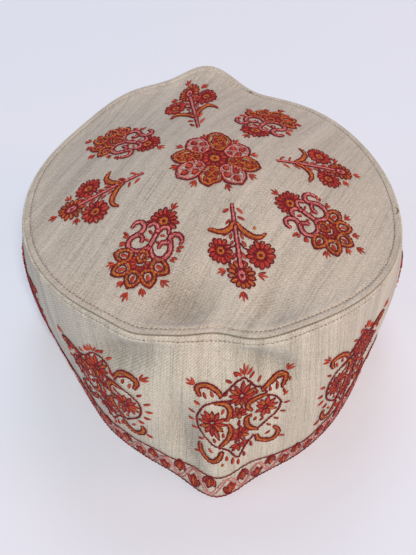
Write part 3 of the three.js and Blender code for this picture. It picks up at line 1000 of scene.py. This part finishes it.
def band_motif():
    """The stitches of one band motif on its own flat chart."""
    work = new_work()
    band_frame(work)
    for centre, width, tips in (
        ((-0.5, 13.4), 1.7, (
            (-6.0, 10.4), (-6.0, 14.0), (-5.6, 17.4), (-3.6, 19.2), (0.2, 21.2), (3.2, 19.4), (5.4, 17.0),
            (6.2, 14.2), (4.6, 11.2), (1.8, 9.2), (-0.8, 7.6), (-3.4, 8.6))),
        ((-12.4, 0.4), 1.8, (
            (-17.2, 4.0), (-18.0, 0.6), (-17.4, -3.2), (-15.2, -5.8), (-12.6, -7.4), (-9.8, -9.4),
            (-8.2, -4.6), (-7.0, -1.0), (-7.4, 2.6), (-10.0, 6.0), (-12.8, 6.6), (-15.6, 6.4))),
        ((9.3, 4.6), 1.8, (
            (5.0, 2.6), (5.4, 6.8), (7.4, 9.8), (10.6, 10.8), (13.4, 8.8), (14.6, 5.6), (14.0, 2.0),
            (11.0, -0.4), (7.6, -1.2))),
        ((-1.8, 4.4), 1.6, (
            (-4.8, 2.4), (-5.0, 5.6), (-3.2, 7.8), (-0.4, 7.8), (1.4, 5.8), (1.6, 2.8), (-1.6, 1.2))),
        ((-1.6, -8.0), 1.7, (
            (-5.4, -10.2), (-5.6, -6.6), (-4.0, -4.0), (-1.4, -2.8), (1.2, -4.2), (2.8, -7.0), (2.4, -10.4),
            (0.4, -12.6), (-3.4, -12.8))),
        ((-1.6, -13.6), 1.6, ((-5.6, -14.6), (-4.6, -17.2), (-2.0, -18.6), (0.6, -17.0), (2.0, -14.0))),
    ):
        star(work, centre, tips, width)
    outline(work, "maroon", [(-1.6, 0.6), (-1.7, -6.0), (-1.8, -18.5)], 0.7)
    darts(work, (
        (-17.8, 9.0, -20.2, 10.8), (-19.6, 3.4, -22.4, 4.6), (-19.6, -1.6, -22.4, -1.8),
        (-18.4, -6.0, -21.0, -7.4), (-15.6, -10.4, -17.8, -12.4), (16.8, 8.8, 19.2, 10.4),
        (17.0, 4.2, 19.9, 4.2), (15.6, -0.6, 18.2, -1.8), (12.8, -3.8, 15.2, -5.8), (10.0, -6.8, 11.8, -9.2),
        (-4.6, 20.4, -7.4, 22.0), (-2.6, 22.8, -3.8, 25.6), (2.8, 21.6, 5.2, 23.4), (6.0, 18.8, 8.2, 20.8),
        (-0.4, 23.0, -3.2, 25.2), (1.8, 23.0, 4.4, 25.0), (-16.9, -21.0, -19.4, -23.4),
        (15.9, -18.4, 18.6, -20.2), (-6.7, -19.6, -6.8, -23.0), (-4.2, -21.6, -4.4, -26.5),
        (-2.0, -24.0, -2.0, -28.5), (0.2, -20.6, 0.6, -24.4), (3.0, -15.2, 3.6, -19.6),
        (-13.6, 16.4, -12.6, 13.4), (-16.6, 16.0, -15.4, 12.6), (11.6, 15.0, 11.2, 12.8),
        (14.8, 16.2, 14.2, 12.6), (17.0, 12.4, 17.8, 9.6), (-8.0, 7.6, -9.2, 5.0),
        (-12.0, -8.4, -11.2, -11.2), (-8.4, -5.4, -8.2, -8.4), (5.8, 8.8, 7.4, 6.6),
        (5.2, -0.2, 4.6, -2.6), (8.6, -1.6, 6.6, -3.6), (-2.0, 0.0, -2.0, -3.0),
        (-13.8, -15.2, -12.0, -17.8), (11.6, -12.4, 9.4, -14.2),
        (-6.4, 16.2, -8.0, 13.8), (5.4, 16.0, 6.0, 13.4), (-4.2, -4.6, -4.0, -7.4)), 1.5)
    tridents(work, ((0.7, 22.8, 0, 5.4), (-20.0, 19.2, -52, 4.8), (19.6, 19.4, 38, 4.8)))
    return work


print("band motifs at", [row[0] for row in BAND_MOTIFS])

# %% [markdown]
# A narrow border runs along the rim: two maroon lines, and between them a double pink vine
# that climbs over every bud at its foot and dips under every bud that hangs from above. It
# repeats 43 times round the cap, which makes each repeat about 13 mm long.

# %% The border
BORDER_LOW = 0.9
BORDER_HIGH = 14.8
BORDER_REPEATS = 43
GIRTH = 2 * np.pi * PANEL_RADIUS
REPEAT = GIRTH / BORDER_REPEATS
BUD_START = 1.8
VINE_WIDTH = 0.62
KERNEL_LIFT = 0.55


def bud(work, foot, head):
    """A pointed bud: a broad petal with an orange kernel between dark veins, and a slim leaf on
    either side."""
    foot, head, run, side = span(foot, head)
    petal(work, foot, head, 2.4, "red", edge_width=0.65)
    outline(work, "orange", [foot + run * 0.22, foot + run * 0.74], 0.85, 2.4, lift=KERNEL_LIFT)
    for hand in (-1, 1):
        vein = [foot + run * 0.08, foot + run * 0.46 + side * hand * 0.62, foot + run * 0.88]
        outline(work, "maroon", vein, 0.42, 2.0, lift=KERNEL_LIFT)
        belly = side * hand * 1.6
        root, tip = foot + run * 0.04 + belly * 0.3, foot + run * 0.76 + belly * 1.4
        petal(work, root, tip, 1.6, "red", edge_width=0.6)


def border():
    """The stitches of the whole border on the flat strip, along and above the rim."""
    work = new_work()
    along = np.linspace(0, GIRTH, 400)
    way = 2 * np.pi * along / GIRTH
    crest = 2 * np.pi * 16.0 / GIRTH
    upper = BORDER_HIGH + 1.6 * np.cos(12 * (way - crest)) + 0.5 * np.sin(29 * way + 2.5)
    lower = BORDER_LOW + 0.2 * np.sin(23 * way)
    lines = [("maroon", upper, 0.95, 1.7), ("maroon", lower, 0.95, 1.7)]
    for shift in (-0.65, 0.65):
        vine = 7.4 - 5.4 * np.cos(BORDER_REPEATS * way - 2 * np.pi * (BUD_START + shift) / REPEAT)
        lines.append(("pink", vine, VINE_WIDTH, 1.9))
    for thread, above, width, stitch in lines:
        outline(work, thread, np.stack([along, above], axis=-1), width, stitch, curved=False)
    for index in range(BORDER_REPEATS):
        left = BUD_START + index * REPEAT + random.uniform(-0.4, 0.4)
        lean = random.uniform(-1.2, 1.2)
        longer = random.uniform(-0.6, 0.6)
        bud(work, (left, 14.6), (left + lean, 6.0 + longer))
        bud(work, (left + REPEAT / 2, 1.2), (left + REPEAT / 2 - lean, 9.8 + longer))
    return work


print("border repeat", REPEAT, "mm")

# %% [markdown]
# The charts are laid on the cloth. A crown motif is turned and scaled so that its foot and
# head fall on their two points of the disc. Hand stitches are never quite even, so every
# end is moved a little, by draws from one seeded generator. Three orange specks are stray
# stitches.

# %% Laying the charts on the cloth
JITTER = 0.09
POINT_COLUMNS = ((0, 1), (2, 3), (4, 5))


def moved(work, matrix, offset, scale=1.0):
    """A copy of the work with every point turned by a 2 x 2 matrix and shifted."""
    copy = {}
    for thread, tables in work.items():
        rows = np.concatenate(tables + [np.zeros((0, 8))])
        for columns in POINT_COLUMNS:
            spot = rows[:, columns] @ np.transpose(matrix) + offset
            rows[:, columns] = spot + random.normal(0.0, JITTER, spot.shape)
        rows[:, 6] *= scale * random.uniform(0.92, 1.08, len(rows))
        copy[thread] = [rows]
    return copy


def rotation(degrees):
    """The 2 x 2 matrix of a turn: (cos, -sin), (sin, cos)."""
    angle = math.radians(degrees)
    return np.array([[math.cos(angle), -math.sin(angle)], [math.sin(angle), math.cos(angle)]])


def laid_between(work, chart_length, foot, head, breadth, skew):
    """Lays a chart so that its length runs from foot to head on the disc. Breadth widens it, and
    skew turns its crosswise direction by so many degrees."""
    foot, head = np.asarray(foot), np.asarray(head)
    scale = np.linalg.norm(head - foot) / chart_length
    ahead = (head - foot) / chart_length
    across = rotation(skew) @ [-ahead[1], ahead[0]]
    return moved(work, np.stack([across * breadth, ahead], axis=1), foot, scale)


def gathered(works):
    """All works as one table of stitches for each thread."""
    tables = {thread: np.concatenate([row for work in works for row in work[thread]]) for thread in THREADS}
    return {thread: rows for thread, rows in tables.items() if len(rows)}


crown_works = [laid_between(sprig(), SPRIG_LENGTH, *row) for row in SPRIGS.values()]
crown_works += [laid_between(bouquet(), BOUQUET_LENGTH, *row) for row in BOUQUETS.values()]
ahead = polar(MEDALLION_TURN, 1.0) * [1, -1]
crown_works.append(moved(medallion(), [[-ahead[1], ahead[0]], [ahead[0], ahead[1]]], MEDALLION_PLACE))
band_works = []
for azimuth, height, breadth, tall, tilt, hand in BAND_MOTIFS:
    matrix = rotation(tilt) * [hand * breadth, tall]
    band_works.append(moved(band_motif(), matrix, (math.radians(azimuth) * PANEL_RADIUS, height)))
SPECKS = ((crown_works, (18.6, -37.0)), (band_works, (6.2, 23.0)), (band_works, (35.0, 63.5)))
for works, place in SPECKS:
    speck = new_work()
    put(speck, "orange", (-0.3, -0.9), (0.0, 0.0), (0.3, 0.9), 1.3, FILL_LIFT)
    works.append(moved(speck, np.eye(2), place))
border_works = [moved(border(), np.eye(2), (0.0, 0.0))]
NEEDLEWORK = {
    "crown": (on_crown, gathered(crown_works)),
    "band": (on_band, gathered(band_works)),
    "border": (on_band, gathered(border_works)),
}
for region, (carry, tables) in NEEDLEWORK.items():
    print(region, {thread: len(rows) for thread, rows in tables.items()})

# %% [markdown]
# Embroidery thread is stranded and has a soft sheen, with fine fibres as bump. Each stitch keeps
# its own shade in an attribute, because a worked thread catches the light a little differently
# at every stitch. Four sides a stitch keep each piece under 200,000 triangles.

# %% Stranded thread
THREAD_COLOURS = {
    "red": ("#c64c35", "#91281f"),
    "maroon": ("#8a1822", "#5e0c16"),
    "orange": ("#c87232", "#96481c"),
    "pink": ("#d6827e", "#ae5a58"),
    "sewing": ("#8f7d6b", "#66584b"),
}
# A profile row's columns: share of the stitch's length, share of its width, share of its rise
STITCH_PROFILE = ((0.0, 0.28, -0.35), (0.2, 0.88, 0.6), (0.5, 1.0, 1.0), (0.8, 0.88, 0.6), (1.0, 0.28, -0.35))
STITCH_RISE = 0.28
FIBRE = 0.35
FIBRE_DEPTH = 0.08
THREAD_SIDES = 4
THREAD_FLATNESS = 0.62


def thread_material(name, bright, deep):
    """Each stitch's own shade between two colours, with fine fibres as bump."""
    material, tree, shader = new_material(name, {
        "Roughness": 0.6, "Specular IOR Level": 0.16, "Sheen Weight": 0.05})
    shade = add_node(tree, "ShaderNodeAttribute", {"attribute_name": "shade"}).outputs["Fac"]
    colour = add_node(tree, "ShaderNodeMix", {"data_type": "RGBA"}, {
        0: shade, 6: linear(deep), 7: linear(bright)}).outputs[2]
    place = add_node(tree, "ShaderNodeTexCoord").outputs["Object"]
    fibre = add_node(tree, "ShaderNodeTexNoise", None, {
        "Vector": place, "Scale": 1 / (FIBRE * MM), "Detail": 2.0}).outputs["Fac"]
    bump = add_node(tree, "ShaderNodeBump", None, {
        "Height": fibre, "Strength": BUMP_STRENGTH, "Distance": FIBRE_DEPTH * MM}).outputs["Normal"]
    fill(tree, shader, {"Base Color": colour, "Normal": bump})
    return material


THREAD_MATERIALS = {
    thread: thread_material("stranded_" + thread + "_thread", *colours)
    for thread, colours in THREAD_COLOURS.items()
}


def thread_mesh(name, rows, carry, material):
    """Every stitch as a closed flattened tube along its bend: five rings of four points. The
    ring's width follows the profile, and its middle rises from under the cloth and back."""
    profile = np.array(STITCH_PROFILE)
    t = profile[:, 0][None, :, None]
    start, bend, end = rows[:, None, 0:2], rows[:, None, 2:4], rows[:, None, 4:6]
    through = 2 * bend - (start + end) / 2
    flat = start * (1 - t) ** 2 + through * 2 * t * (1 - t) + end * t**2
    normal = facing(carry, flat)
    middle = carry(flat)
    run = np.gradient(middle, axis=1)
    run /= np.maximum(np.linalg.norm(run, axis=-1, keepdims=True), 1e-9)
    side = np.cross(run, normal)
    width = rows[:, None, 6] * profile[None, :, 1]
    lift = rows[:, None, 7] + rows[:, None, 6] * STITCH_RISE * profile[None, :, 2]
    angles = 2 * np.pi * np.arange(THREAD_SIDES) / THREAD_SIDES + np.pi / 2
    across = np.cos(angles) * width[..., None] / 2
    above = np.sin(angles) * width[..., None] / 2 * THREAD_FLATNESS + lift[..., None]
    points = middle[:, :, None] + side[:, :, None] * across[..., None] + normal[:, :, None] * above[..., None]
    count, rings = len(rows), len(profile)
    size = rings * THREAD_SIDES
    walls = loft_faces(rings, THREAD_SIDES, False)
    first = np.arange(count)[:, None, None] * size
    quads = (walls[None] + first).reshape(-1, 4)
    near = np.arange(THREAD_SIDES)[None] + np.arange(count)[:, None] * size
    far = near[:, ::-1] + (rings - 1) * THREAD_SIDES
    shade = np.repeat(random.uniform(0.0, 1.0, count), size)
    faces = quads.tolist() + near.tolist() + far.tolist()
    return add_object(name, points.reshape(-1, 3), faces, material, shade=shade)


for region, (carry, tables) in NEEDLEWORK.items():
    for thread, rows in tables.items():
        piece = thread_mesh(region + "_" + thread + "_needlework", rows, carry, THREAD_MATERIALS[thread])
        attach(piece, "root")
        triangles = len(rows) * (2 * THREAD_SIDES * (len(STITCH_PROFILE) - 1) + 2 * (THREAD_SIDES - 2))
        print(piece.name, "triangles", triangles)

# %% [markdown]
# A row of topstitching holds the seam allowance down on each side of the seam. It is sewn
# with fine grey-brown thread, about 2 mm to a stitch, and each stitch sinks at its holes. A
# knot was left at the back of the seam, and a loose end at its right.

# %% Topstitching
TOPSTITCH_LENGTH = 1.5
TOPSTITCH_GAP = 0.5
SEWING_WIDTH = 0.34
SEWING_LIFT = 0.02


def topstitch_rows(place_of):
    """Stitches at even distances round the cap, at the flat place that place_of gives."""
    count = int(GIRTH / (TOPSTITCH_LENGTH + TOPSTITCH_GAP))
    azimuth = 360.0 * np.arange(count) / count
    stretch = 360.0 / count * TOPSTITCH_LENGTH / (TOPSTITCH_LENGTH + TOPSTITCH_GAP)
    sway = random.normal(0.0, 0.10, count)
    parts = [place_of(azimuth + stretch * share, sway) for share in (0.0, 0.5, 1.0)]
    return np.concatenate(parts + [np.broadcast_to([SEWING_WIDTH, SEWING_LIFT], (count, 2))], axis=1)


def crown_place(azimuth, sway):
    """The flat places of the crown's row at some azimuths."""
    return outwards(azimuth)[:, :2] * (PANEL_RADIUS - TOPSTITCH_AWAY + sway)[:, None]


def band_place(azimuth, sway):
    """The flat places of the band's row at some azimuths."""
    return np.stack([np.radians(azimuth) * PANEL_RADIUS, BAND_HEIGHT - TOPSTITCH_AWAY + sway], axis=-1)


KNOT_AT = (19.5, 83.5)
KNOT_ARM = 1.4
LOOSE_END = (86.2, -9.0, 88.2, -6.5, 87.2, -3.8)
crown_row = topstitch_rows(crown_place)
band_row = topstitch_rows(band_place)
loose_ends = []
for angle in (40, 90, 150):
    start, end = KNOT_AT + polar(angle, KNOT_ARM), KNOT_AT - polar(angle + 30, KNOT_ARM)
    loose_ends.append([*start, *KNOT_AT, *end, 0.6, 0.3])
loose_ends.append([*LOOSE_END, 0.6, 0.6])
crown_row = np.concatenate([crown_row, loose_ends])
for name, rows, carry in (
    ("crown_topstitching", crown_row, on_crown),
    ("band_topstitching", band_row, on_band),
):
    piece = thread_mesh(name, rows, carry, THREAD_MATERIALS["sewing"])
    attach(piece, "root")
    print(name, "stitches", len(rows))

# %% [markdown]
# A plain pale floor and soft light. The main softbox stands high in front and lets the dents
# shade. A weaker one behind lights the back of the crown. A cool one at the left, a warmer one
# at the right and an even pale surround fill the shadows.

# %% Floor, light and surround
FLOOR_HALF = 3000.0
FLOOR_BELOW = 0.05


def floor_sheet():
    """A square floor just under the rim, with a faint cloudy tint."""
    corners = np.array([(-1, -1, 0), (1, -1, 0), (1, 1, 0), (-1, 1, 0)]) * FLOOR_HALF - [0, 0, FLOOR_BELOW]
    material, tree, shader = new_material("painted_floor", {"Roughness": 0.85, "Specular IOR Level": 0.2})
    place = add_node(tree, "ShaderNodeTexCoord").outputs["Object"]
    tint = add_node(tree, "ShaderNodeTexNoise", None, {
        "Vector": place, "Scale": 1.2, "Detail": 1.0}).outputs["Fac"]
    colour = add_node(tree, "ShaderNodeMix", {"data_type": "RGBA"}, {
        0: tint, 6: linear("#dee6f0"), 7: linear("#e5e5ec")}).outputs[2]
    fill(tree, shader, {"Base Color": colour})
    return add_object("floor", corners, [(0, 1, 2, 3)], material)


floor_sheet()
LIGHTS = {
    "front_softbox": {"place": (1.4, -4.7, 5.7), "size": 1.5, "power": 470.0, "colour": "#fff9f2"},
    "back_softbox": {"place": (0.0, 2.4, 3.4), "size": 1.6, "power": 38.0, "colour": "#e6ecff"},
    "left_softbox": {"place": (-2.6, -0.4, 1.8), "size": 1.6, "power": 12.0, "colour": "#aed6ff"},
    "right_softbox": {"place": (2.6, -0.2, 1.6), "size": 1.6, "power": 18.0, "colour": "#ffb4a6"},
}
for name, row in LIGHTS.items():
    light = bpy.data.lights.new(name, "AREA")
    light.size = row["size"]
    light.energy = row["power"]
    light.color = linear(row["colour"])[:3]
    lamp = bpy.data.objects.new(name, light)
    place = np.array(row["place"])
    lamp.matrix_world = looking(place, place / np.linalg.norm(place))
    bpy.context.collection.objects.link(lamp)
world = bpy.data.worlds.new("surround")
world.use_nodes = True
surround = world.node_tree.nodes["Background"]
surround.inputs["Color"].default_value = linear("#dce6fa")
surround.inputs["Strength"].default_value = 0.18
bpy.context.scene.world = world
print("lights", list(LIGHTS))
